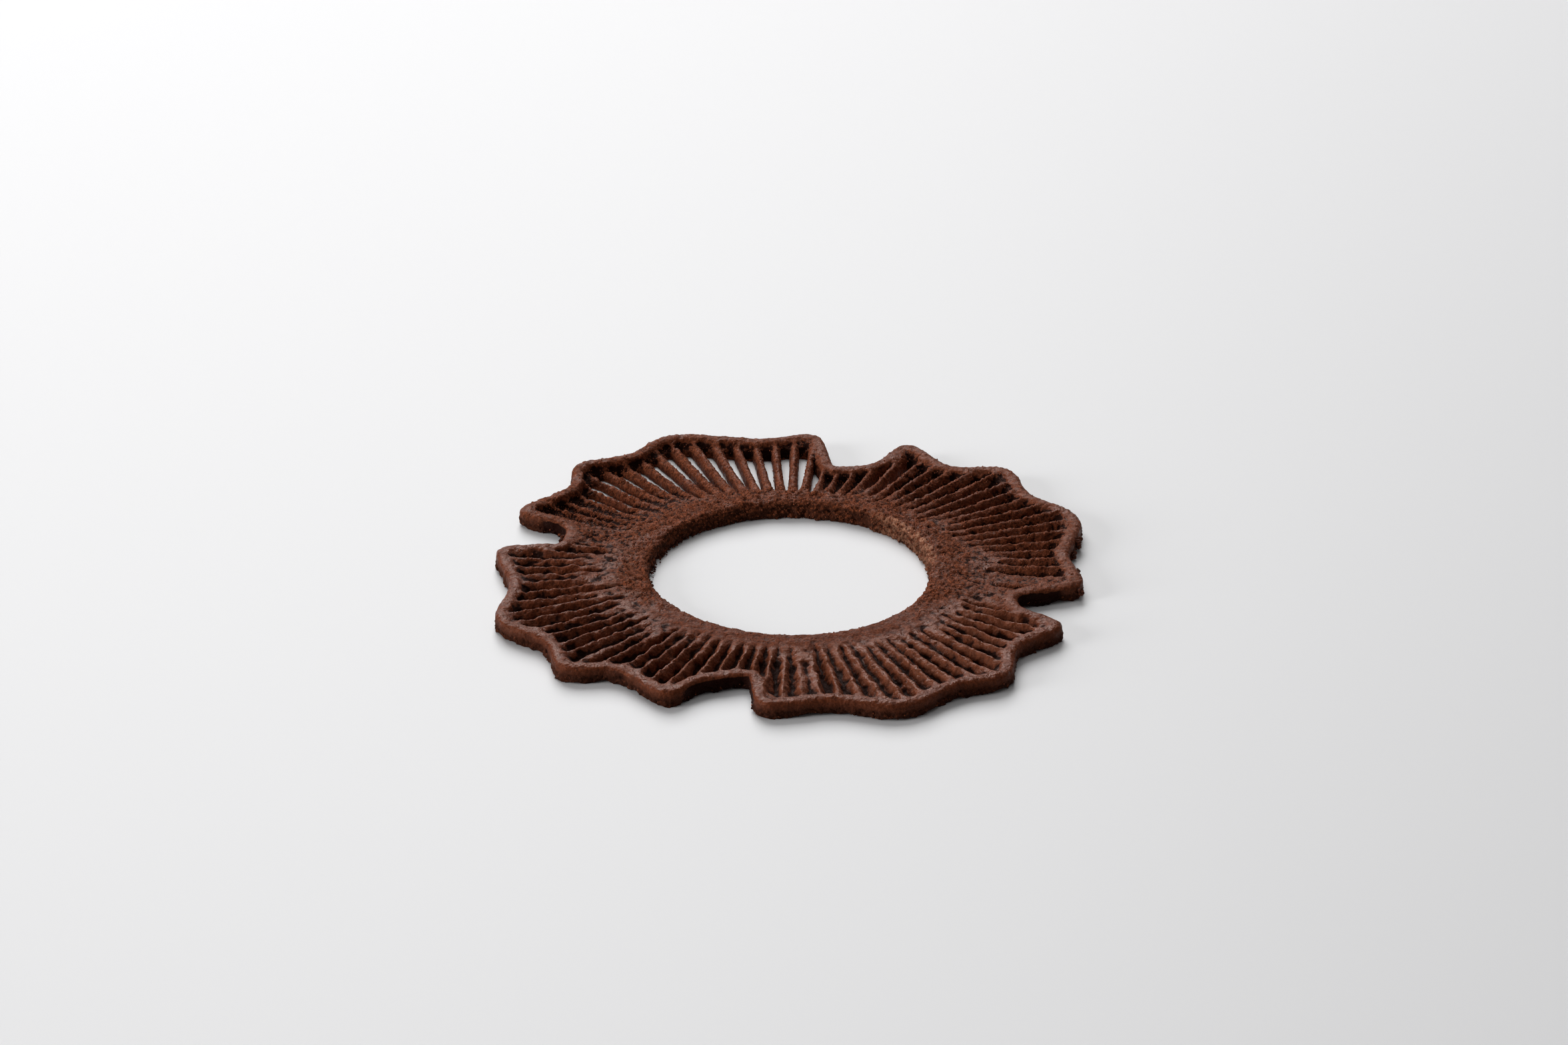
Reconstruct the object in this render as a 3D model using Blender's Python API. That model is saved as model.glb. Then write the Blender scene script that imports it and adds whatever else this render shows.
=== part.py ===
"""Chocolate tuile: a flat four-petalled ring of baked cocoa batter, one piece.

Run with: blender --background --python part.py

The batter was spread in a mould: a smooth rim round a wavy outline, thin ribs that run from the rim
to a plain band round the central hole, and grooves between the ribs. Where the batter ran thin, some
grooves go right through. Lengths are millimetres until the mesh is made, and angles are degrees,
counter-clockwise seen from above, from +X.
"""

import math
import random

import bmesh
import bpy
from mathutils import Vector
from mathutils.geometry import delaunay_2d_cdt

MM = 0.001

# Whole piece
THICKNESS = 3.2
HOLE_RADIUS = 26.3
HOLE_CENTRE = Vector((0.15, -0.42))
# How far the hole is out of round, as waves round it: how many, how high, and where the first crest is
HOLE_WAVES = ((2, 0.18, -24), (3, 0.19, 56))
COCOA_BROWN = (0.088, 0.021, 0.010, 1.0)

# Outline: nine corners a petal, clockwise, each as (distance from the middle, angle): the notch and
# its end, then tip, dip, tip, dip, tip, dip and tip. CORNER_ROUNDING says how much each is rounded.
BACK_LEFT_PETAL = (
    (43.5, 167.5), (44.5, 158.0), (57.5, 157.0), (52.5, 141.0), (60.0, 134.0),
    (55.0, 123.5), (60.5, 113.5), (52.5, 95.0), (56.0, 84.0),
)
BACK_RIGHT_PETAL = (
    (41.5, 78.5), (44.5, 69.0), (57.0, 67.0), (50.5, 53.0), (59.0, 44.5),
    (53.5, 33.0), (59.5, 20.5), (51.5, 5.5), (55.4, -7.5),
)
FRONT_RIGHT_PETAL = (
    (43.0, -15.0), (44.5, -20.5), (56.5, -23.5), (51.0, -37.0), (58.5, -46.5),
    (54.0, -56.5), (58.5, -69.0), (51.5, -81.0), (54.0, -96.5),
)
FRONT_LEFT_PETAL = (
    (42.0, -100.0), (46.5, -110.5), (55.0, -113.5), (50.0, -129.0), (58.0, -136.0),
    (52.5, -147.5), (59.0, -158.5), (51.5, -172.5), (56.0, -188.5),
)
PETALS = BACK_LEFT_PETAL + BACK_RIGHT_PETAL + FRONT_RIGHT_PETAL + FRONT_LEFT_PETAL
CORNER_ROUNDING = (1.5, 3.5, 5.5, 3.5, 5.0, 4.0, 7.0, 3.0, 4.5)
CORNER_STEPS = 12
MOST_OF_FLANK = 0.48
OUTLINE_STEPS = 380
HOLE_STEPS = 132

# Rim and hole edge
RIM_WIDTH = 2.7
RIM_CREST_IN = 0.7
RIM_EDGE_DROP = 0.45
RIM_SHOULDER_IN = 2.05
RIM_SHOULDER_DROP = 0.12
MOST_OF_SHOULDER = 0.985
HOLE_EDGE_IN = 0.7
HOLE_EDGE_DROP = 0.35
WALL_MIDDLE = 0.42
RAGGED_FOOT = 0.22
HOLE_FOOT_IN = 0.55
UNEVEN_TOP = 0.07

# Grooves, clockwise from the one beside the left notch. O goes right through, N goes through in a
# narrow sliver near the rim, D is deep, M middling, S shallow, - filled with batter. The number says
# how many millimetres beyond INNER_ENDS_FROM the groove starts.
GROOVE_PITCH = 4.0
FIRST_GROOVE = 158.9
INNER_ENDS_FROM = 30.0
GROOVES = (
    "-0 -0 M3 D1 M3 N3 N1 N3 N3 N1 O3 O3 O3 O2 O2 O1 O1 O1 O0 O0 "
    "D1 D0 D0 N1 O2 D0 D2 D0 D1 D1 D0 D3 D4 D2 D2 D3 D4 D6 M8 M8 M6 "
    "-0 S3 -0 -0 M2 D5 D5 D3 M5 M6 D4 M4 M4 M3 M3 M3 M2 M2 M1 D0 S6 M1 D1 D1 "
    "M1 D1 D1 D1 D0 D0 M1 D0 M6 M3 D2 D4 M4 D4 D3 D7 D1 D7 S8 D4 M6 M6 M3 S4 -0"
).split()
GROOVE_FLOOR = {"O": 0.0, "N": 0.0, "D": 0.9, "M": 1.35, "S": 2.15}
GROOVE_WIDTH = {"O": 2.25, "N": 2.1, "D": 2.15, "M": 1.9, "S": 1.4}
FLOOR_SHARE = {"O": 0.84, "N": 0.66, "D": 0.34, "M": 0.34, "S": 0.4}
RIB_EDGE_DROP = {"O": 0.75, "N": 0.7, "D": 0.85, "M": 0.75, "S": 0.4}
INNER_WIDTH = 0.6
NARROW_START = 0.45
FLOOR_END = 0.93
LIP_RADIUS = 48.0
FLOOR_START = 0.05
RIM_SEARCH = (30.0, 60.0, 0.25)
# Half a groove's lip and half its floor, from the inner end outwards: how far along it, how far
# across it, and the share of the full drop or depth that it has there
LIP_HALF = [(0.0, -1, 0.1), (0.22, -1, 0.6), (0.48, -1, 1), (0.74, -1, 1), (0.95, -1, 1), (1.0, -0.72, 0.8)]
FLOOR_HALF = [(0.0, -1, 0.35), (0.3, -1, 0.75), (0.65, -1, 1), (1.0, -1, 1)]
SHORTEST_GROOVE = 4.0
RIB_CREST_RISE = 0.12
CREST_START = 1.5
CREST_STOPS_SHORT = 0.4

# How far the ribs lie below the rim, by angle, and where along a rib that is reached. The batter ran
# thin towards the back left.
SUNK = (
    (160, 0.5), (154, 0.9), (146, 1.55), (136, 1.75), (124, 1.35), (112, 1.0), (100, 0.7), (88, 0.5),
    (78, 0.25), (70, 0.25), (63, 0.6), (54, 0.25), (20, 0.1), (-80, 0.1), (-92, 0.3), (-104, 0.1),
    (-160, 0.15), (-200, 0.5),
)
SUNK_FROM = 29.0
SUNK_FULLY_AT = 37.0

# How far the ribs stray clockwise (+) or back (-) from their even pitch, by angle
RIB_STRAY = (
    (159, 0.6), (127, 0.9), (87, 0.0), (40, -0.9),
    (-30, -1.4), (-90, -0.4), (-160, -1.3), (-201, -0.8),
)


def polar(radius, angle):
    return Vector((radius * math.cos(math.radians(angle)), radius * math.sin(math.radians(angle))))


def rounded_outline():
    """The wavy outline at even steps: straight flanks between corners, each corner a smooth curve."""
    corners = [polar(radius, angle) for radius, angle in PETALS]
    dense = []
    for i, corner in enumerate(corners):
        to_last = corners[i - 1] - corner
        to_next = corners[(i + 1) % len(corners)] - corner
        cut = CORNER_ROUNDING[i % len(CORNER_ROUNDING)]
        start = corner + to_last.normalized() * min(cut, MOST_OF_FLANK * to_last.length)
        end = corner + to_next.normalized() * min(cut, MOST_OF_FLANK * to_next.length)
        for step in range(CORNER_STEPS + 1):
            t = step / CORNER_STEPS
            dense.append((1 - t) ** 2 * start + 2 * t * (1 - t) * corner + t * t * end)
    return even_steps(dense, OUTLINE_STEPS)


def even_steps(loop, count):
    """A closed loop resampled to points at an equal distance along it."""
    lengths = [0.0]
    for i, point in enumerate(loop):
        lengths.append(lengths[-1] + (loop[(i + 1) % len(loop)] - point).length)
    points = []
    at = 0
    for step in range(count):
        along = lengths[-1] * step / count
        while lengths[at + 1] < along:
            at += 1
        share = (along - lengths[at]) / (lengths[at + 1] - lengths[at])
        points.append(loop[at].lerp(loop[(at + 1) % len(loop)], share))
    return points


def moved_in(loop, distance):
    """The clockwise loop moved towards its inside, along the normal at each point."""
    moved = []
    for i, point in enumerate(loop):
        along = (loop[(i + 1) % len(loop)] - loop[i - 1]).normalized()
        moved.append(point + Vector((along.y, -along.x)) * distance)
    return moved


def hole_loop(farther_out):
    """The slightly uneven edge of the hole, or a loop a little farther out, clockwise."""
    points = []
    for step in range(HOLE_STEPS):
        angle = -360 * step / HOLE_STEPS
        radius = HOLE_RADIUS + farther_out
        for count, height, first_crest in HOLE_WAVES:
            radius += height * math.cos(math.radians(count * (angle - first_crest)))
        points.append(HOLE_CENTRE + polar(radius, angle))
    return points


def distance_to_loop(point, loop):
    nearest = 1e9
    for i, a in enumerate(loop):
        b = loop[(i + 1) % len(loop)]
        if (a - point).length > nearest + 2.0:
            continue
        edge = b - a
        t = max(0.0, min(1.0, (point - a).dot(edge) / edge.length_squared))
        nearest = min(nearest, (a + edge * t - point).length)
    return nearest


def rim_starts(angle, outline):
    """How far out a rib or groove at this angle runs before it meets the rim."""
    radius, farthest, step = RIM_SEARCH
    while radius < farthest and distance_to_loop(polar(radius, angle), outline) > RIM_WIDTH:
        radius += step
    return radius


def by_angle(stations, angle):
    """The value at an angle, between the stations that are given from the highest angle down."""
    for (high, at_high), (low, at_low) in zip(stations, stations[1:]):
        if low <= angle <= high:
            return at_low + (at_high - at_low) * (angle - low) / (high - low)
    return 0.0


def rib_height(point):
    """The height of the ribs' tops: full at the band, and lower outwards where the batter ran thin."""
    angle = math.degrees(math.atan2(point.y, point.x))
    if angle > SUNK[0][0]:
        angle -= 360
    outwards = (point.length - SUNK_FROM) / (SUNK_FULLY_AT - SUNK_FROM)
    return THICKNESS - by_angle(SUNK, angle) * max(0.0, min(1.0, outwards))


def groove_angle(index):
    even = FIRST_GROOVE - GROOVE_PITCH * index
    return even + by_angle(RIB_STRAY, even)


def inner_end(index):
    return INNER_ENDS_FROM + float(GROOVES[index][1:])


class Sheet:
    """Points on the top face and the lines that its triangles must follow."""

    def __init__(self):
        self.points = []
        self.heights = []
        self.lines = []

    def add_line(self, points, heights, closed):
        first = len(self.points)
        self.points += points
        self.heights += heights
        indices = list(range(first, len(self.points)))
        self.lines += list(zip(indices, indices[1:]))
        if closed:
            self.lines.append((indices[-1], indices[0]))
        return indices


def groove_point(angle, inner, outer_sides, width, along, across):
    """A point of a groove that widens outwards: along is 0 to 1 outwards, across -1 to 1 over its lip."""
    left, right = outer_sides
    outer = left + (right - left) * (across + 1) / 2
    radius = inner + (outer - inner) * along
    width_here = INNER_WIDTH + (width - INNER_WIDTH) * min(1.0, 1.25 * along) ** 0.8
    return polar(radius, angle + across * math.degrees(width_here / 2 / radius))


def add_groove(sheet, index, outline):
    """Adds one groove's lip and floor, and gives the loop of its floor with whether it is open."""
    kind = GROOVES[index][0]
    if kind == "-":
        return None
    angle = groove_angle(index)
    inner = inner_end(index)
    width = GROOVE_WIDTH[kind]
    outer_sides = []
    for side in (-1, 1):
        outer_sides.append(rim_starts(angle + side * math.degrees(width / 2 / LIP_RADIUS), outline))
    if min(outer_sides) - inner < SHORTEST_GROOVE:
        return None
    shape = (angle, inner, outer_sides, width)
    lip = LIP_HALF + [(along, -across, share) for along, across, share in reversed(LIP_HALF)]
    points = [groove_point(*shape, along, across) for along, across, share in lip]
    heights = [rib_height(point) - RIB_EDGE_DROP[kind] * step[2] for point, step in zip(points, lip)]
    sheet.add_line(points, heights, closed=True)

    floor_start = NARROW_START if kind == "N" else FLOOR_START
    floor = FLOOR_HALF + [(along, -across, share) for along, across, share in reversed(FLOOR_HALF)]
    points = []
    heights = []
    for along, across, share in floor:
        along = floor_start + (FLOOR_END - floor_start) * along
        point = groove_point(*shape, along, across * FLOOR_SHARE[kind])
        points.append(point)
        depth = 1 - GROOVE_FLOOR[kind] / THICKNESS
        heights.append(rib_height(point) * (1 - depth * share) if GROOVE_FLOOR[kind] > 0 else 0.0)
    return sheet.add_line(points, heights, closed=True), GROOVE_FLOOR[kind] == 0


def add_rib_crest(sheet, index, outline):
    """The rounded top of the rib between this groove and the next, as a raised line."""
    following = (index + 1) % len(GROOVES)
    if GROOVES[index][0] == "-" or GROOVES[following][0] == "-":
        return
    next_angle = groove_angle(following) - (360 if following == 0 else 0)
    angle = (groove_angle(index) + next_angle) / 2
    outer = rim_starts(angle, outline) - CREST_STOPS_SHORT
    inner = CREST_START + (inner_end(index) + inner_end(following)) / 2
    if outer - inner < SHORTEST_GROOVE:
        return
    points = [polar(inner + (outer - inner) * t, angle) for t in (0.0, 0.3, 0.65, 1.0)]
    sheet.add_line(points, [rib_height(point) + RIB_CREST_RISE for point in points], closed=False)


def inside(point, loop):
    """Whether a point lies inside a closed loop."""
    crossings = 0
    for i, a in enumerate(loop):
        b = loop[(i + 1) % len(loop)]
        if (a.y > point.y) != (b.y > point.y):
            if point.x < a.x + (b.x - a.x) * (point.y - a.y) / (b.y - a.y):
                crossings += 1
    return crossings % 2 == 1


def triangulate(points, lines, outer, holes):
    """Triangles between the outer loop and the holes, all facing up, as indices of the points."""
    found = delaunay_2d_cdt(points, lines, [], 0, 1e-7, True)
    vertices, faces, origins = found[0], found[2], found[3]
    if len(vertices) != len(points):
        raise ValueError("two lines of the top face cross")
    outer_loop = [points[i] for i in outer]
    hole_loops = [[points[i] for i in hole] for hole in holes]
    boxes = []
    for loop in hole_loops:
        xs = [p.x for p in loop]
        ys = [p.y for p in loop]
        boxes.append((min(xs), max(xs), min(ys), max(ys)))
    kept = []
    for face in faces:
        a, b, c = (origins[i][0] for i in face)
        middle = (points[a] + points[b] + points[c]) / 3
        if not inside(middle, outer_loop):
            continue
        in_hole = False
        for loop, (left, right, front, back) in zip(hole_loops, boxes):
            if left < middle.x < right and front < middle.y < back and inside(middle, loop):
                in_hole = True
        if in_hole:
            continue
        turn = (points[b] - points[a]).cross(points[c] - points[a])
        kept.append((a, b, c) if turn > 0 else (a, c, b))
    return kept


def ragged(loop, rng, amount):
    """The loop with each point moved in or out a little, as a crumbling edge is."""
    return [point * (1 + rng.uniform(-amount, amount) / point.length) for point in loop]


def build_tuile():
    rng = random.Random(7)
    outline = rounded_outline()
    sheet = Sheet()

    # The rim: its outer edge, its crest and the shoulder that it has towards the ribs
    edge = sheet.add_line(list(outline), [THICKNESS - RIM_EDGE_DROP] * OUTLINE_STEPS, closed=True)
    sheet.add_line(moved_in(outline, RIM_CREST_IN), [THICKNESS] * OUTLINE_STEPS, closed=True)
    shoulder = []
    for point in moved_in(outline, RIM_SHOULDER_IN):
        if distance_to_loop(point, outline) > MOST_OF_SHOULDER * RIM_SHOULDER_IN:
            shoulder.append(point)
    sheet.add_line(shoulder, [THICKNESS - RIM_SHOULDER_DROP] * len(shoulder), closed=True)

    # The band's edge at the hole and its crest
    edge_heights = [THICKNESS - HOLE_EDGE_DROP] * HOLE_STEPS
    hole_edge = sheet.add_line(hole_loop(0.0), edge_heights, closed=True)
    sheet.add_line(hole_loop(HOLE_EDGE_IN), [THICKNESS] * HOLE_STEPS, closed=True)

    open_floors = []
    for index in range(len(GROOVES)):
        floor = add_groove(sheet, index, outline)
        if floor and floor[1]:
            open_floors.append(floor[0])
        add_rib_crest(sheet, index, outline)

    top_faces = triangulate(sheet.points, sheet.lines, edge, [hole_edge] + open_floors)

    mesh = bmesh.new()
    top = []
    for point, height in zip(sheet.points, sheet.heights):
        if height > 0:
            height += rng.uniform(-UNEVEN_TOP, UNEVEN_TOP)
        top.append(mesh.verts.new((point.x * MM, point.y * MM, height * MM)))
    for face in top_faces:
        mesh.faces.new([top[i] for i in face])

    # Walls, from each edge down to a ragged foot that rests flat
    feet = []
    for loop, foot_in in ((edge, 0.0), (hole_edge, HOLE_FOOT_IN)):
        flat = [sheet.points[i] for i in loop]
        upper = [top[i] for i in loop]
        for share in (WALL_MIDDLE, 0.0):
            points = ragged(moved_in(flat, foot_in * (1 - share)), rng, RAGGED_FOOT)
            lower = [mesh.verts.new((p.x * MM, p.y * MM, THICKNESS * share * MM)) for p in points]
            for i in range(len(loop)):
                j = (i + 1) % len(loop)
                mesh.faces.new((upper[i], upper[j], lower[j]))
                mesh.faces.new((upper[i], lower[j], lower[i]))
            upper = lower
        feet.append((points, lower))

    # The flat underside, with the hole and the open grooves left out of it
    bottom_points = []
    bottom_verts = []
    bottom_lines = []
    loops = []
    slots = [([sheet.points[i] for i in floor], [top[i] for i in floor]) for floor in open_floors]
    for points, verts in feet + slots:
        first = len(bottom_points)
        bottom_points += points
        bottom_verts += verts
        loop = list(range(first, len(bottom_points)))
        bottom_lines += list(zip(loop, loop[1:] + loop[:1]))
        loops.append(loop)
    for face in triangulate(bottom_points, bottom_lines, loops[0], loops[1:]):
        mesh.faces.new([bottom_verts[i] for i in reversed(face)])

    bmesh.ops.recalc_face_normals(mesh, faces=mesh.faces)
    centre_on_footprint(mesh)
    data = bpy.data.meshes.new("tuile")
    mesh.to_mesh(data)
    mesh.free()
    tuile = bpy.data.objects.new("tuile", data)
    bpy.context.scene.collection.objects.link(tuile)
    data.materials.append(cocoa_material())
    return tuile


def centre_on_footprint(mesh):
    """Puts the origin at the bottom centre of the piece's box."""
    for axis in (0, 1):
        values = [vert.co[axis] for vert in mesh.verts]
        middle = (min(values) + max(values)) / 2
        for vert in mesh.verts:
            vert.co[axis] -= middle


def cocoa_material():
    material = bpy.data.materials.new("baked_cocoa")
    material.use_nodes = True
    shader = material.node_tree.nodes["Principled BSDF"]
    shader.inputs["Base Color"].default_value = COCOA_BROWN
    shader.inputs["Roughness"].default_value = 0.6
    shader.inputs["Metallic"].default_value = 0.0
    return material


for old in list(bpy.data.objects):
    bpy.data.objects.remove(old, do_unlink=True)
build_tuile()
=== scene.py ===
"""A chocolate tuile on a pale table: the surface, crumbs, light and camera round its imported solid.

The order follows how the real piece comes about: batter spread in the mould and baked, cocoa grains
that stay on it, crumbs that break from its edges, and then the table that it is laid on.
"""

import math

import bmesh
import bpy
import numpy as np
from mathutils import Euler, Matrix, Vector
from mathutils.kdtree import KDTree


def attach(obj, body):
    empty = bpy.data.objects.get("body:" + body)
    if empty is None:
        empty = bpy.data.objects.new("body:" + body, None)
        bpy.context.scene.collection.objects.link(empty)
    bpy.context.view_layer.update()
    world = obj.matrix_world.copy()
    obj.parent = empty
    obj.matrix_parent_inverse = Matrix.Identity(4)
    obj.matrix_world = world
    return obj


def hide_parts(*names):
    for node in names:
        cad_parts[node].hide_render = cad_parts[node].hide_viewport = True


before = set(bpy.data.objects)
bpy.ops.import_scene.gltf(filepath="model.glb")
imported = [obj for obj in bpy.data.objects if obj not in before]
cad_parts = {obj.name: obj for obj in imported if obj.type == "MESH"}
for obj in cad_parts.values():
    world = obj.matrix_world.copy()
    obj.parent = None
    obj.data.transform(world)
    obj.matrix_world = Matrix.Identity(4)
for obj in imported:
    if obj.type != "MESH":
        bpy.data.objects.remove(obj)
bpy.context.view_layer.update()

MM = 0.001

# ---------------------------------------------------------------------------------------------
# The baked batter. One flat ring of cocoa batter, spread in a mould and baked crisp: a smooth rim,
# lumpy ribs, and a crumbly band round the hole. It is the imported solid, remeshed finely, softened as
# baking softens it, and roughened where the batter came out dry.
# ---------------------------------------------------------------------------------------------
HOLE_CENTRE = Vector((0.13, -1.07)) * MM
VOXEL = 0.22 * MM
SAME_POINT = 0.01 * MM
EDGE_STEP = 1.0 * MM

bpy.ops.object.select_all(action="DESELECT")
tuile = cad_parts["tuile"].copy()
tuile.data = tuile.data.copy()
tuile.name = "baked_tuile"
tuile.parent = None
bpy.context.scene.collection.objects.link(tuile)
tuile.select_set(True)
bpy.context.view_layer.objects.active = tuile
bpy.ops.object.mode_set(mode="EDIT")
bpy.ops.mesh.select_all(action="SELECT")
bpy.ops.mesh.remove_doubles(threshold=SAME_POINT)
bpy.ops.object.mode_set(mode="OBJECT")


def apply_modifier(piece, kind, **settings):
    """Adds one modifier to a piece and applies it."""
    modifier = piece.modifiers.new(kind.title(), kind)
    for name, value in settings.items():
        setattr(modifier, name, value)
    bpy.context.view_layer.objects.active = piece
    bpy.ops.object.modifier_apply(modifier=modifier.name)


apply_modifier(tuile, "REMESH", mode="VOXEL", voxel_size=VOXEL)


def points_of(mesh):
    """Where a mesh's points are, one row each."""
    points = np.empty(len(mesh.vertices) * 3, np.float32)
    mesh.vertices.foreach_get("co", points)
    return points.reshape(-1, 3)


def normals_of(mesh):
    """Which way a mesh's points face, one row each."""
    normals = np.empty(len(mesh.vertices) * 3, np.float32)
    mesh.vertex_normals.foreach_get("vector", normals)
    return normals.reshape(-1, 3)


def fade(values, start, end):
    """0 before start, 1 after end, and a smooth turn between them."""
    t = np.clip((values - start) / (end - start), 0, 1)
    return t * t * (3 - 2 * t)


def between(values, start, end, turn):
    """1 from start to end, fading to 0 over the given turn beyond them."""
    return fade(values, start - turn, start) * (1 - fade(values, end, end + turn))


def round_the_hole(points):
    """Each point's distance from the middle of the hole, and its angle from -180 to 180."""
    flat = points[:, :2] - np.array(HOLE_CENTRE)
    return np.hypot(flat[:, 0], flat[:, 1]), np.degrees(np.arctan2(flat[:, 1], flat[:, 0]))


def outer_edge_tree():
    """The tuile's outer edge, as a search tree of points along it, no more than a step apart."""
    radii, angles = round_the_hole(points_of(tuile.data))
    steps = np.round(angles).astype(int) % 360
    edge = [radii[steps == step].max() for step in range(360)]
    route = []
    for step, radius in enumerate(edge):
        angle = math.radians(step)
        following = edge[(step + 1) % 360]
        parts = 1 + math.ceil(abs(following - radius) / EDGE_STEP)
        for share in np.linspace(0, 1, parts, endpoint=False):
            at = radius + (following - radius) * share
            route.append((at * math.cos(angle), at * math.sin(angle), 0))
    tree = KDTree(len(route))
    for i, point in enumerate(route):
        tree.insert(Vector(point) + HOLE_CENTRE.to_3d(), i)
    tree.balance()
    return tree


outer_edge = outer_edge_tree()


def weight_group(piece, name, weights):
    """A vertex group with the given weights, in tenths."""
    group = piece.vertex_groups.new(name=name)
    tenths = np.round(np.clip(weights, 0, 1) * 10).astype(int)
    for tenth in range(1, 11):
        chosen = np.nonzero(tenths == tenth)[0].tolist()
        if chosen:
            group.add(chosen, tenth / 10, "REPLACE")


# Baking softens every edge, least of all the hole's, and swells the ribs, except the thin ones at the
# back left. An arc is its first and last angle and how far it fades out beyond them, in degrees round
# the hole, with 0 at the right and 90 at the back.
CRISP_NEAR_HOLE = (26.6 * MM, 29.0 * MM)
THIN_RIBS_ARC = (116, 158, 8)
SOFTENING_ROUNDS = 16
SWELLING = 0.13 * MM

from_hole, angles = round_the_hole(points_of(tuile.data))
weight_group(tuile, "away_from_hole", 0.2 + 0.8 * fade(from_hole, *CRISP_NEAR_HOLE))
weight_group(tuile, "full_ribs", 1 - 0.9 * between(angles, *THIN_RIBS_ARC))
apply_modifier(tuile, "SMOOTH", factor=0.5, iterations=SOFTENING_ROUNDS, vertex_group="away_from_hole")
apply_modifier(tuile, "DISPLACE", strength=SWELLING, mid_level=0, vertex_group="full_ribs")

# Arcs: dry or slotted batter, less or more painted shade, a torn wall with painted light, and painted
# sheen.
DRY_ARC = (-10, 150, 22)
DRY_LEFT_ARC = (160, 190, 18)
DRY_BACK_LEFT_ARC = (118, 158, 16)
SLOTTED_ARC = (70, 116, 6)
SHALLOW_ARC = (-122, -60, 12)
DARKER_LEFT_ARC = (168, 236, 14)
TORN_ARC = (14, 42, 18)
SHEEN_ARC = (150, 205, 22)
SHEEN_RING = (29.6 * MM, 34.0 * MM, 2 * MM)

# Each region turns into the next between two places. These are distances from the middle of the hole.
TORN_WALL = (26.9 * MM, 27.6 * MM)
HOLE_WALL = (27.0 * MM, 28.2 * MM)
BAND_EDGE = (29.0 * MM, 34.0 * MM)
SMOOTH_BAND_EDGE = (30.0 * MM, 33.5 * MM)
SLOTS_START = (31 * MM, 34 * MM)
NOTCH_END = (48 * MM, 53 * MM)

# These are distances in from the outer edge.
OUTER_WALL = (0.7 * MM, 1.3 * MM)
NEAR_EDGE = (0.9 * MM, 1.7 * MM)
PAST_WALL = (1.3 * MM, 1.9 * MM)
RIM_INSIDE = (1.7 * MM, 2.9 * MM)

# These are heights above the table, and the last is a place from front to back.
LOW_PART = (0.6 * MM, 2.4 * MM)
SHADED_PART = (1.2 * MM, 2.9 * MM)
TORN_TOP = (2.2 * MM, 2.9 * MM)
FRONT_END = (-26 * MM, -6 * MM)


def regions(mesh):
    """How far each point is rim, crumbly, wall and so on, from 0 to 1, by its place and slope."""
    points = points_of(mesh)
    height = points[:, 2]
    up = normals_of(mesh)[:, 2]
    radius, angle = round_the_hole(points)
    full_angle = angle % 360
    edge_gap = np.array([outer_edge.find((x, y, 0))[2] for x, y, z in points])
    front = 1 - fade(points[:, 1], *FRONT_END)
    band = 1 - fade(radius, *BAND_EDGE)
    rim = 1 - fade(edge_gap, *RIM_INSIDE)

    dry_side = between(angle, *DRY_ARC)
    dry_left = between(full_angle, *DRY_LEFT_ARC)
    dry_back_left = between(angle, *DRY_BACK_LEFT_ARC)
    dry_ribs = 0.12 + 0.46 * dry_side + 0.25 * dry_back_left + 0.22 * dry_left
    dry_ribs *= 1 - (0.75 - 0.45 * dry_side) * rim

    wall = 1 - fade(up, 0.2, 0.6)
    outer_wall = wall * (1 - fade(edge_gap, *OUTER_WALL))
    low = 1 - fade(height, *LOW_PART)
    at_edge = 1 - fade(edge_gap, *NEAR_EDGE)
    at_hole = 1 - fade(radius, *HOLE_WALL)
    # The hole's wall at the right is pale torn crumb and is also painted lighter as if lit, most at
    # its top.
    torn_and_lit = between(angle, *TORN_ARC) * (1 - fade(radius, *TORN_WALL))
    return {
        "rim": rim,
        "crumbly": np.clip(band * (1 - 0.8 * front) + dry_ribs, 0, 1),
        "upward": fade(up, 0.1, 0.7),
        "foot": low * (1 - fade(np.abs(up), 0.5, 0.9)) * np.maximum(at_edge, at_hole),
        "undercut": low * at_edge,
        "wall_shade": wall * at_edge * (1 - fade(height, *SHADED_PART)),
        "outer_wall": outer_wall,
        "notch": outer_wall * (1 - fade(radius, *NOTCH_END)),
        "inner_wall": wall * at_hole,
        "smooth_band": front * (1 - fade(radius, *SMOOTH_BAND_EDGE)),
        "band": band,
        "dry_side": dry_side,
        "shallow": between(angle, *SHALLOW_ARC),
        "darker_left": between(full_angle, *DARKER_LEFT_ARC),
        "behind_slots": wall * rim * fade(edge_gap, *PAST_WALL),
        "slotted": between(angle, *SLOTTED_ARC) * fade(radius, *SLOTS_START),
        "torn_and_lit": torn_and_lit * (0.5 + 0.5 * fade(height, *TORN_TOP)),
        "painted_sheen": between(full_angle, *SHEEN_ARC) * between(radius, *SHEEN_RING),
    }


def relief(piece, kind, size, height, where="", middle=0.5, direction="NORMAL", **texture_settings):
    """Raises and lowers a piece by a texture whose grains are about size across."""
    texture = bpy.data.textures.new("relief", kind)
    texture.noise_scale = size
    for name, value in texture_settings.items():
        setattr(texture, name, value)
    apply_modifier(
        piece, "DISPLACE", texture=texture, texture_coords="LOCAL", strength=height,
        mid_level=middle, vertex_group=where, direction=direction,
    )
    bpy.data.textures.remove(texture)


# The rim, the slotted ribs, the band's front and the dry ribs stay calmer than the rest.
CALM_RIM = 0.5
CALM_SLOTS = 0.6
CALM_BAND = 0.65
CALM_DRY_RIBS = 0.35

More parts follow.
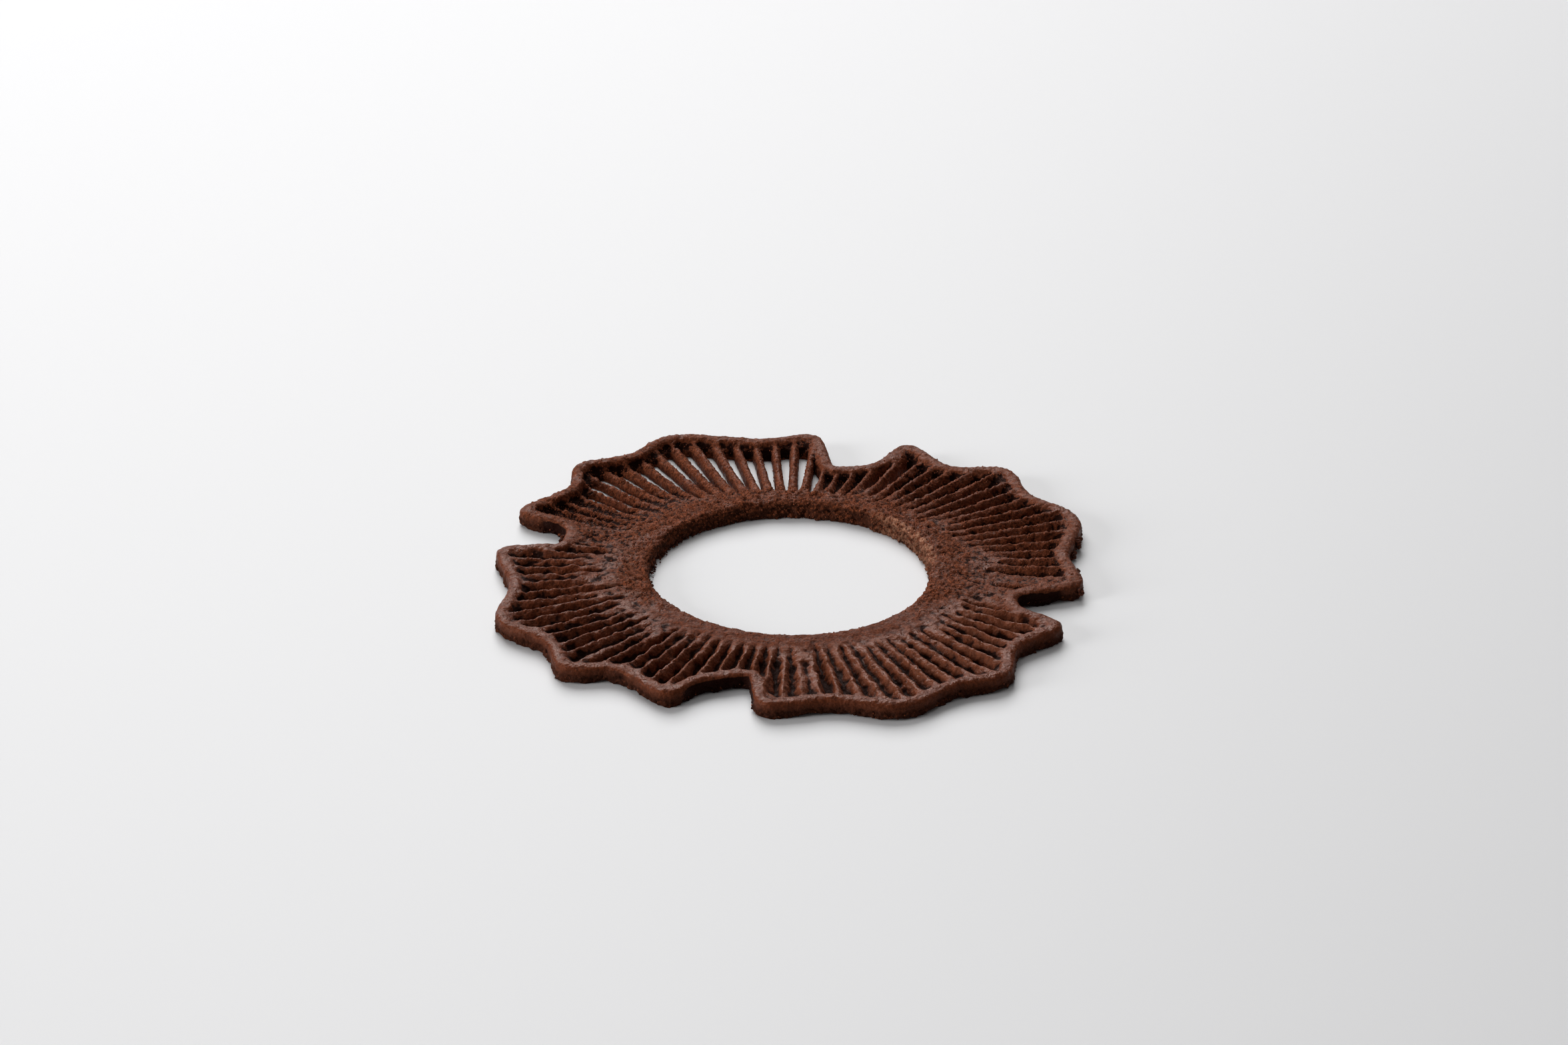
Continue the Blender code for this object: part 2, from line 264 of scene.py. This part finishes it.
place = regions(tuile.data)
uneven = (1 - CALM_RIM * place["rim"]) * (1 - CALM_SLOTS * place["slotted"])
uneven = uneven * (1 - CALM_BAND * place["smooth_band"])
uneven *= 1 - CALM_DRY_RIBS * place["dry_side"] * (1 - place["band"])
weight_group(tuile, "uneven", uneven)
weight_group(tuile, "lumpy", (0.25 + 0.75 * place["upward"] + place["foot"]) * uneven)
weight_group(tuile, "crumbly", place["crumbly"] * (0.35 + 0.65 * place["upward"]))
weight_group(tuile, "ragged_and_wall_shade", np.maximum(place["foot"], place["inner_wall"]))
weight_group(tuile, "slotted", place["slotted"] * (1 - place["rim"]))
weight_group(tuile, "undercut", place["undercut"])

# Ribs wander sideways and swell into lumps, then the crumb, the pores and the ragged foot come on top.
apply_modifier(tuile, "DISPLACE", strength=0.3 * SWELLING, mid_level=0, vertex_group="slotted")
relief(tuile, "CLOUDS", size=3.2 * MM, height=0.75 * MM, where="uneven", direction="X")
relief(tuile, "CLOUDS", size=2.8 * MM, height=0.75 * MM, where="uneven", direction="Y")
relief(tuile, "CLOUDS", size=4.0 * MM, height=0.6 * MM, where="lumpy", direction="Z")
relief(tuile, "CLOUDS", size=1.7 * MM, height=0.75 * MM, where="lumpy", noise_depth=1)
apply_modifier(tuile, "SMOOTH", factor=0.5, iterations=3)
relief(
    tuile, "CLOUDS", size=2.4 * MM, height=1.5 * MM, where="undercut", middle=0.42,
    direction="Z", noise_depth=1,
)
relief(tuile, "VORONOI", size=0.9 * MM, height=-0.16 * MM, where="crumbly", middle=0.4)
relief(tuile, "CLOUDS", size=0.7 * MM, height=0.85 * MM, where="crumbly", noise_depth=2)
relief(tuile, "VORONOI", size=0.6 * MM, height=-0.5 * MM, where="ragged_and_wall_shade", middle=0.45)
relief(tuile, "CLOUDS", size=0.6 * MM, height=0.6 * MM, where="ragged_and_wall_shade", noise_depth=2)


def rest_flat(mesh):
    """Lifts to the table's level whatever the relief pushed below it."""
    points = points_of(mesh)
    points[:, 2] = np.maximum(points[:, 2], 0.0)
    mesh.vertices.foreach_set("co", points.ravel())
    mesh.update()


MOST_TRIANGLES = 197000
triangles = sum(len(polygon.vertices) - 2 for polygon in tuile.data.polygons)
rest_flat(tuile.data)
apply_modifier(tuile, "DECIMATE", ratio=min(1.0, MOST_TRIANGLES / triangles))
rest_flat(tuile.data)
tuile.vertex_groups.clear()
bpy.ops.object.select_all(action="DESELECT")
tuile.select_set(True)
bpy.ops.object.shade_smooth()


def hollowness(mesh, rounds):
    """How far each point lies in a hollow (+) or on a crest (-), against its softened surroundings."""
    points = points_of(mesh).astype(float)
    ends = np.empty(len(mesh.edges) * 2, np.int32)
    mesh.edges.foreach_get("vertices", ends)
    a, b = ends.reshape(-1, 2).T
    count = np.bincount(a, minlength=len(points)) + np.bincount(b, minlength=len(points))
    soft = points.copy()
    for _ in range(rounds):
        total = np.zeros_like(soft)
        for axis in range(3):
            total[:, axis] = np.bincount(a, soft[b, axis], len(soft))
            total[:, axis] += np.bincount(b, soft[a, axis], len(soft))
        soft = 0.5 * soft + 0.5 * total / count[:, None]
    return ((soft - points) * normals_of(mesh)).sum(axis=1)


def write_attribute(mesh, name, values):
    """Keeps one number for each point of a mesh, for its material to read."""
    attribute = mesh.attributes.new(name, "FLOAT", "POINT")
    attribute.data.foreach_set("value", np.asarray(values, np.float32))


# How far below the surface round it a groove and a pit get painted shade. More rounds of softening
# compare with wider surroundings.
GROOVE_DEPTHS = (-0.15 * MM, 0.45 * MM)
GROOVE_ROUNDS = 30
PIT_DEPTHS = (-0.02 * MM, 0.14 * MM)
PIT_ROUNDS = 5

place = regions(tuile.data)
write_attribute(tuile.data, "crumbly", place["crumbly"])
# Painted shade on the walls: their lower part near the edge, the hole's wall and, half as strong, the
# outer wall.
ragged_and_wall_shade = np.maximum(np.maximum(place["wall_shade"], place["inner_wall"]), 0.5 * place["outer_wall"])
write_attribute(tuile.data, "ragged_and_wall_shade", ragged_and_wall_shade)
write_attribute(tuile.data, "torn_and_lit", place["torn_and_lit"])
# Painted sheen on the band at the left.
write_attribute(tuile.data, "painted_sheen", place["painted_sheen"])
write_attribute(tuile.data, "smooth_band", place["smooth_band"])
# Painted shade in the grooves: less at the front and on the band, more on the left and the dry side.
# The notch walls and the rim's inner face behind the slots are painted as in shadow.
hollow_shade = fade(hollowness(tuile.data, GROOVE_ROUNDS), *GROOVE_DEPTHS)
hollow_shade *= 1 - 0.3 * place["shallow"]
hollow_shade *= 1 - 0.5 * place["band"]
more_shade = 0.14 * place["darker_left"] + 0.10 * place["dry_side"]
hollow_shade += more_shade * (1 - place["rim"]) * (1 - place["band"])
shaded = 0.75 * np.maximum(place["notch"], place["behind_slots"])
write_attribute(tuile.data, "hollow_shade", np.maximum(hollow_shade, shaded))
# Painted highlight along the rib crests, away from the grooves, band, rim and walls.
crest_highlight = (1 - fade(hollow_shade, 0.0, 0.12)) * (1 - place["band"]) * (1 - 0.75 * place["rim"]) * (1 - ragged_and_wall_shade)
write_attribute(tuile.data, "crest_highlight", crest_highlight)
# Painted shade in the small pits.
pits = hollowness(tuile.data, PIT_ROUNDS)
write_attribute(tuile.data, "pits", fade(pits, *PIT_DEPTHS))

# Its finish is baked cocoa batter: rusty brown and dull where it is crumbly, a smooth, faintly fatty
# brown where it set against the mould, with painted shade, painted highlights, painted glints and
# painted sheen on it.
GROOVE_SHADE_BROWN = (0.012, 0.002, 0.001, 1)
PIT_SHADE_BROWN = (0.036, 0.009, 0.004, 1)
CRUMB_AND_WALL_SHADE_BROWN = (0.036, 0.011, 0.006, 1)
BATTER_BROWN = (0.070, 0.015, 0.006, 1)
WARM_BROWN = (0.132, 0.031, 0.012, 1)
DARK_GRAIN = (0.058, 0.016, 0.007, 1)
RUSTY_BROWN = (0.310, 0.084, 0.034, 1)
TORN_CRUMB_AND_LIGHT = (0.420, 0.200, 0.120, 1)
CREST_HIGHLIGHT = (0.230, 0.074, 0.034, 1)
PAINTED_SHEEN = (0.190, 0.090, 0.060, 1)
FATTY_SHEEN = (1.0, 0.52, 0.38, 1)
SHEEN_LEVEL = 0.18

# How wide the finish's patches, lumps and grains are, and how high its lumps and grains stand.
DRY_PATCHES = 5 * MM
SHEEN_BLOTCHES = 1.8 * MM
SHEEN_PATCHES = 1.6 * MM
LUMPS = 1.1 * MM
LUMP_HEIGHT = 0.5 * MM
TORN_BITS = 1.0 * MM
PORES = 0.8 * MM
GLINT_SPECKS = 0.5 * MM
FINE_GRAINS = 0.42 * MM
FINE_GRAIN_HEIGHT = 0.3 * MM


class Finish:
    """A material under construction, with short calls for its nodes."""

    def __init__(self, name):
        self.material = bpy.data.materials.new(name)
        self.material.use_nodes = True
        self.nodes = self.material.node_tree.nodes
        self.links = self.material.node_tree.links
        self.shader = self.nodes["Principled BSDF"]
        self.place = self.nodes.new("ShaderNodeTexCoord").outputs["Object"]

    def put(self, socket, value):
        """Links or sets one input."""
        if isinstance(value, bpy.types.NodeSocket):
            self.links.new(value, socket)
        else:
            socket.default_value = value

    def attribute(self, name):
        """A number that the mesh keeps for each point."""
        node = self.nodes.new("ShaderNodeAttribute")
        node.attribute_name = name
        return node.outputs["Fac"]

    def noise(self, size, detail=2.0, rough=0.5):
        """Uneven patches about size across, from 0 to 1."""
        node = self.nodes.new("ShaderNodeTexNoise")
        self.put(node.inputs["Vector"], self.place)
        self.put(node.inputs["Scale"], 1 / size)
        self.put(node.inputs["Detail"], detail)
        self.put(node.inputs["Roughness"], rough)
        return node.outputs["Fac"]

    def math(self, operation, a, b=0.0):
        """One step of arithmetic on a and b."""
        node = self.nodes.new("ShaderNodeMath")
        node.operation = operation
        self.put(node.inputs[0], a)
        self.put(node.inputs[1], b)
        return node.outputs[0]

    def ramp(self, value, start, end, low=0.0, high=1.0):
        """Low before start, high after end, and a smooth turn between them."""
        node = self.nodes.new("ShaderNodeMapRange")
        node.interpolation_type = "SMOOTHSTEP"
        self.put(node.inputs["Value"], value)
        self.put(node.inputs["From Min"], start)
        self.put(node.inputs["From Max"], end)
        self.put(node.inputs["To Min"], low)
        self.put(node.inputs["To Max"], high)
        return node.outputs["Result"]

    def mix(self, share, a, b):
        """Colour a, with the given share of colour b."""
        node = self.nodes.new("ShaderNodeMix")
        node.data_type = "RGBA"
        self.put(node.inputs[0], share)
        self.put(node.inputs[6], a)
        self.put(node.inputs[7], b)
        return node.outputs[2]

    def bump(self, height, distance, strength=1.0, under=None):
        """Fine relief as high as distance, on top of what lies under it."""
        node = self.nodes.new("ShaderNodeBump")
        self.put(node.inputs["Height"], height)
        self.put(node.inputs["Distance"], distance)
        self.put(node.inputs["Strength"], strength)
        if under:
            self.put(node.inputs["Normal"], under)
        return node.outputs["Normal"]


def baked_cocoa():
    """The tuile's finish, by what its mesh keeps for each point."""
    finish = Finish("baked_cocoa")
    crumbly = finish.attribute("crumbly")
    hollow_shade = finish.attribute("hollow_shade")
    ragged_and_wall_shade = finish.attribute("ragged_and_wall_shade")
    pits = finish.attribute("pits")
    torn_and_lit = finish.attribute("torn_and_lit")
    painted_sheen = finish.attribute("painted_sheen")
    crest_highlight = finish.attribute("crest_highlight")
    smooth_band = finish.attribute("smooth_band")
    patches = finish.noise(DRY_PATCHES, detail=3)
    grains = finish.noise(FINE_GRAINS, detail=3, rough=0.7)
    lumps = finish.noise(LUMPS, detail=2)
    dry = finish.math("MULTIPLY", crumbly, finish.ramp(patches, 0.32, 0.55, low=0.35, high=1.0))

    colour = finish.mix(finish.ramp(lumps, 0.3, 0.7), BATTER_BROWN, WARM_BROWN)
    grainy = finish.mix(finish.ramp(grains, 0.36, 0.66), DARK_GRAIN, RUSTY_BROWN)
    colour = finish.mix(finish.ramp(dry, 0.0, 1.0, low=0.28, high=0.9), colour, grainy)
    # Painted glints: small pale specks.
    glint_specks = finish.ramp(finish.noise(GLINT_SPECKS, detail=2, rough=0.6), 0.66, 0.74)
    colour = finish.mix(finish.math("MULTIPLY", glint_specks, 0.3), colour, PAINTED_SHEEN)
    # Painted sheen: pale patches on the band at the left.
    sheen_blotches = finish.ramp(finish.noise(SHEEN_BLOTCHES, detail=2), 0.5, 0.64, low=0.0, high=0.4)
    colour = finish.mix(finish.math("MULTIPLY", painted_sheen, sheen_blotches), colour, PAINTED_SHEEN)
    # Painted shade on the walls, broken by pores.
    pores = finish.ramp(finish.noise(PORES, detail=3, rough=0.65), 0.35, 0.6, low=0.65, high=1.0)
    colour = finish.mix(finish.math("MULTIPLY", ragged_and_wall_shade, pores), colour, CRUMB_AND_WALL_SHADE_BROWN)
    # Pale torn crumb with painted light on the right of the hole's wall.
    torn_crumb_and_light = finish.ramp(finish.noise(TORN_BITS, detail=3, rough=0.7), 0.38, 0.6)
    colour = finish.mix(finish.math("MULTIPLY", torn_and_lit, torn_crumb_and_light), colour, TORN_CRUMB_AND_LIGHT)
    # Painted shade in the pits.
    colour = finish.mix(finish.math("MULTIPLY", pits, 0.7), colour, PIT_SHADE_BROWN)
    # Painted highlight on the crests.
    colour = finish.mix(finish.math("MULTIPLY", crest_highlight, 0.3), colour, CREST_HIGHLIGHT)
    # Painted shade in the grooves, on the notch walls and behind the slots.
    groove_shade = finish.ramp(hollow_shade, 0.20, 0.52)
    colour = finish.mix(groove_shade, colour, GROOVE_SHADE_BROWN)
    finish.put(finish.shader.inputs["Base Color"], colour)

    dull = finish.math("MAXIMUM", finish.math("MAXIMUM", dry, ragged_and_wall_shade), groove_shade)
    dull = finish.math("MAXIMUM", dull, finish.math("MULTIPLY", smooth_band, 0.7))
    sheen = finish.ramp(finish.noise(SHEEN_PATCHES, detail=2), 0.35, 0.65, low=0.22, high=0.50)
    rough = finish.math("ADD", sheen, finish.math("MULTIPLY", dull, 0.45))
    finish.put(finish.shader.inputs["Roughness"], rough)
    finish.put(finish.shader.inputs["Specular IOR Level"], SHEEN_LEVEL)
    finish.put(finish.shader.inputs["Specular Tint"], FATTY_SHEEN)
    broad = finish.bump(lumps, LUMP_HEIGHT, strength=0.9)
    grain_strength = finish.ramp(dull, 0.0, 1.0, low=0.36, high=1.0)
    fine = finish.bump(grains, FINE_GRAIN_HEIGHT, strength=grain_strength, under=broad)
    finish.put(finish.shader.inputs["Normal"], fine)
    return finish.material


tuile.data.materials.clear()
tuile.data.materials.append(baked_cocoa())
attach(tuile, "root")
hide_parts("tuile")

# ---------------------------------------------------------------------------------------------
# Cocoa grains. Dry grains of the batter, most of them under half a millimetre across, that baked fast
# to the band round the hole and to the drier ribs. Each is a small lump, nearly half sunk in the skin.
# ---------------------------------------------------------------------------------------------
GRAINS = 9800
GRAIN_SIZE = (0.16 * MM, 0.40 * MM)
GRAIN_SUNK = 0.42
GRAIN_KINDS = 24
LOWEST_IN_SIZES = 0.75
CORNERS_OUT = (0.65, 1.15)
STRETCH = (0.7, 1.25)
SEED = 11
GRAIN_BROWN = (0.140, 0.042, 0.019, 1)
GRAIN_PATCHES = 0.9 * MM


def lump(rng, roundness):
    """The corners and faces of one unevenly rounded grain, about one unit in radius."""
    shape = bmesh.new()
    bmesh.ops.create_icosphere(shape, subdivisions=roundness, radius=1)
    corners = np.array([vert.co for vert in shape.verts])
    corners *= rng.uniform(*CORNERS_OUT, (len(corners), 1))
    faces = np.array([[vert.index for vert in face.verts] for face in shape.faces])
    shape.free()
    return corners * rng.uniform(*STRETCH, 3), faces


def grains_piece(name, places, sizes, rng, roundness=1):
    """One piece of many separate grains, centred at the given places."""
    kinds = [lump(rng, roundness) for _ in range(GRAIN_KINDS)]
    corners = []
    faces = []
    total = 0
    for spot, size in zip(places, sizes):
        shape, shape_faces = kinds[rng.integers(len(kinds))]
        turn = np.array(Euler(rng.uniform(0, 2 * math.pi, 3)).to_matrix())
        corners.append(shape @ turn.T * size / 2 + spot)
        faces.append(shape_faces + total)
        total += len(shape)
    mesh = bpy.data.meshes.new(name)
    mesh.from_pydata(np.concatenate(corners).tolist(), [], np.concatenate(faces).tolist())
    piece = bpy.data.objects.new(name, mesh)
    bpy.context.scene.collection.objects.link(piece)
    mesh.shade_smooth()
    return piece


def scatter(mesh, weights, count, rng):
    """Places on a mesh, and its normals there, with more of them where the corners weigh more."""
    mesh.calc_loop_triangles()
    triangles = np.empty(len(mesh.loop_triangles) * 3, np.int32)
    mesh.loop_triangles.foreach_get("vertices", triangles)
    triangles = triangles.reshape(-1, 3)
    corners = points_of(mesh)[triangles]
    across = np.cross(corners[:, 1] - corners[:, 0], corners[:, 2] - corners[:, 0])
    chance = np.linalg.norm(across, axis=1) * weights[triangles].mean(axis=1)
    chosen = rng.choice(len(triangles), count, p=chance / chance.sum())
    shares = rng.dirichlet((1, 1, 1), count)
    places = (corners[chosen] * shares[:, :, None]).sum(axis=1)
    normals = across[chosen] / np.linalg.norm(across[chosen], axis=1)[:, None]
    return places, normals


# Most grains lie on what faces up in the driest parts, and a few on the hole's wall and the foot.
rng = np.random.default_rng(SEED)
dryness = place["crumbly"] ** 2 * (0.15 + 0.85 * place["upward"])
dryness += 0.12 * place["inner_wall"]
dryness += 0.08 * place["foot"]
dryness *= 1 - 0.8 * place["rim"] * (1 - place["foot"])
grain_places, grain_normals = scatter(tuile.data, dryness, GRAINS, rng)
grain_sizes = GRAIN_SIZE[0] + (GRAIN_SIZE[1] - GRAIN_SIZE[0]) * rng.random(GRAINS) ** 2
grain_places = grain_places + grain_normals * (grain_sizes * (0.5 - GRAIN_SUNK))[:, None]
grain_places[:, 2] = np.maximum(grain_places[:, 2], grain_sizes * LOWEST_IN_SIZES)
grains = grains_piece("cocoa_grains", grain_places, grain_sizes, rng)


def grain_cocoa():
    """Dull cocoa, paler on some grains than on others."""
    finish = Finish("grain_cocoa")
    shade = finish.noise(GRAIN_PATCHES, detail=1)
    colour = finish.mix(finish.ramp(shade, 0.35, 0.65), GRAIN_BROWN, RUSTY_BROWN)
    finish.put(finish.shader.inputs["Base Color"], colour)
    finish.put(finish.shader.inputs["Roughness"], 0.8)
    finish.put(finish.shader.inputs["Specular IOR Level"], 0.2)
    return finish.material


grains.data.materials.append(grain_cocoa())
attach(grains, "root")
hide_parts("tuile")

# ---------------------------------------------------------------------------------------------
# Stuck crumbs. Broken bits of batter up to about a millimetre and a half across, which cling in clumps
# to the rim, most of them at the right, and lie in a thin fringe along the foot of the hole.
# ---------------------------------------------------------------------------------------------
CRUMB_SIZE = (0.45 * MM, 1.15 * MM)
FRINGE_CRUMB_SIZE = (0.22 * MM, 0.55 * MM)
# Each clump: its angle, and how many crumbs it has
CLUMPS = ((12.5, 18), (9, 8), (1, 4), (-8, 3), (163, 4), (-21, 2), (74, 4))
CLUMP_SPREAD = 0.9 * MM
CLUMP_HEIGHT = (0.3 * MM, 2.4 * MM)
CLUMP_STANDS_OUT = (0.25, 0.48)
# Each stretch of the fringe: its first and last angle, and how many crumbs it has
FRINGE_ARCS = ((118, 175, 70), (175, 215, 22), (20, 118, 34))
HOLE_FOOT_RADIUS = 25.75 * MM
FRINGE_STRAY = 0.22 * MM
CRUMB_PATCHES = 0.5 * MM
CRUMB_GRAIN = 0.25 * MM
CRUMB_GRAIN_HEIGHT = 0.15 * MM

outline_radii, outline_angles = round_the_hole(points_of(tuile.data))


def edge_radius(angle):
    """How far out the tuile's edge lies at an angle, from the middle of the hole."""
    near = np.abs((outline_angles - angle + 180) % 360 - 180) < 1
    return outline_radii[near].max()


crumb_places = []
crumb_sizes = []
for angle, count in CLUMPS:
    hole_middle = np.array(HOLE_CENTRE.to_3d())
    way = np.array((math.cos(math.radians(angle)), math.sin(math.radians(angle)), 0))
    middle = hole_middle + edge_radius(angle) * way
    outwards = middle - hole_middle
    outwards /= np.linalg.norm(outwards)
    sideways = np.array((-outwards[1], outwards[0], 0))
    for _ in range(count):
        size = rng.uniform(*CRUMB_SIZE)
        height = rng.uniform(*CLUMP_HEIGHT)
        spot = middle + sideways * rng.uniform(-CLUMP_SPREAD, CLUMP_SPREAD) + outwards * size
        spot[2] = max(size * LOWEST_IN_SIZES, height)
        # Each crumb is set against the wall nearest to it, and stands out by part of its size.
        _, on_wall, facing, _ = tuile.closest_point_on_mesh(spot)
        spot = np.array(on_wall + facing * size * rng.uniform(*CLUMP_STANDS_OUT))
        spot[2] = max(size * LOWEST_IN_SIZES, spot[2])
        crumb_places.append(spot)
        crumb_sizes.append(size)
for first, last, count in FRINGE_ARCS:
    for angle in np.radians(rng.uniform(first, last, count)):
        size = rng.uniform(*FRINGE_CRUMB_SIZE)
        radius = HOLE_FOOT_RADIUS + rng.normal(0, FRINGE_STRAY)
        spot = (HOLE_CENTRE.x + radius * math.cos(angle), HOLE_CENTRE.y + radius * math.sin(angle))
        crumb_places.append(np.array((*spot, size * rng.uniform(LOWEST_IN_SIZES, 1.0))))
        crumb_sizes.append(size)
crumbs = grains_piece("stuck_crumbs", crumb_places, crumb_sizes, rng, roundness=2)


def crumb_cocoa():
    """Dark dull cocoa with a fine grain."""
    finish = Finish("crumb_cocoa")
    shade = finish.ramp(finish.noise(CRUMB_PATCHES, detail=2), 0.35, 0.65)
    finish.put(finish.shader.inputs["Base Color"], finish.mix(shade, CRUMB_AND_WALL_SHADE_BROWN, WARM_BROWN))
    finish.put(finish.shader.inputs["Roughness"], 0.75)
    finish.put(finish.shader.inputs["Specular IOR Level"], 0.15)
    grain = finish.bump(finish.noise(CRUMB_GRAIN), CRUMB_GRAIN_HEIGHT)
    finish.put(finish.shader.inputs["Normal"], grain)
    return finish.material


crumbs.data.materials.append(crumb_cocoa())
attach(crumbs, "root")
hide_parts("tuile")

# ---------------------------------------------------------------------------------------------
# The table. A plain pale matt top, far larger than the view, that the tuile lies on.
# ---------------------------------------------------------------------------------------------
TABLE_ACROSS = 4.0
TABLE_GAP = 0.02 * MM
PALE_MATT = (0.80, 0.80, 0.81, 1)

bpy.ops.object.select_all(action="DESELECT")
bpy.ops.mesh.primitive_plane_add(size=TABLE_ACROSS, location=(0, 0, -TABLE_GAP))
table = bpy.context.object
table.name = "table_top"
table_finish = Finish("pale_table")
table_finish.put(table_finish.shader.inputs["Base Color"], PALE_MATT)
table_finish.put(table_finish.shader.inputs["Roughness"], 0.5)
table.data.materials.append(table_finish.material)

# ---------------------------------------------------------------------------------------------
# Light and camera. A broad soft window stands behind and a low one at the left, a weak soft light
# hangs above, and the pale room fills in. The camera looks down from in front, through a long lens.
# ---------------------------------------------------------------------------------------------
ROOM_COLOUR = (1.0, 0.98, 0.96, 1)
ROOM_STRENGTH = 0.10

world = bpy.data.worlds.new("pale_room")
world.use_nodes = True
world.node_tree.nodes["Background"].inputs["Color"].default_value = ROOM_COLOUR
world.node_tree.nodes["Background"].inputs["Strength"].default_value = ROOM_STRENGTH
bpy.context.scene.world = world


def soft_light(name, size, energy, azimuth, elevation, distance):
    """A square area light that looks at the middle of the ring, with azimuth 90 straight behind it."""
    data = bpy.data.lights.new(name, "AREA")
    data.shape = "SQUARE"
    data.size = size
    data.energy = energy
    light = bpy.data.objects.new(name, data)
    bpy.context.scene.collection.objects.link(light)
    around = math.radians(azimuth)
    up = math.radians(elevation)
    way = Vector((math.cos(up) * math.cos(around), math.cos(up) * math.sin(around), math.sin(up)))
    light.location = way * distance
    light.rotation_euler = way.to_track_quat("Z", "Y").to_euler()


soft_light("window", size=1.1, energy=22.5, azimuth=104, elevation=39, distance=1.6)
soft_light("side_window", size=1.0, energy=33, azimuth=196, elevation=17, distance=2.4)
soft_light("ceiling", size=2.0, energy=6, azimuth=90, elevation=84, distance=2.2)

LENS = 168.3
SENSOR = 36.0
LOOKS_DOWN = 27.38
CAMERA_PLACE = (-0.00110, -1.19865, 0.6326)

camera_data = bpy.data.cameras.new("camera")
camera_data.lens = LENS
camera_data.sensor_width = SENSOR
camera_data.dof.use_dof = False
camera = bpy.data.objects.new("camera", camera_data)
bpy.context.scene.collection.objects.link(camera)
camera.location = CAMERA_PLACE
camera.rotation_euler = Euler((math.radians(90 - LOOKS_DOWN), 0, 0))
bpy.context.scene.camera = camera
bpy.context.scene.view_settings.view_transform = "Standard"
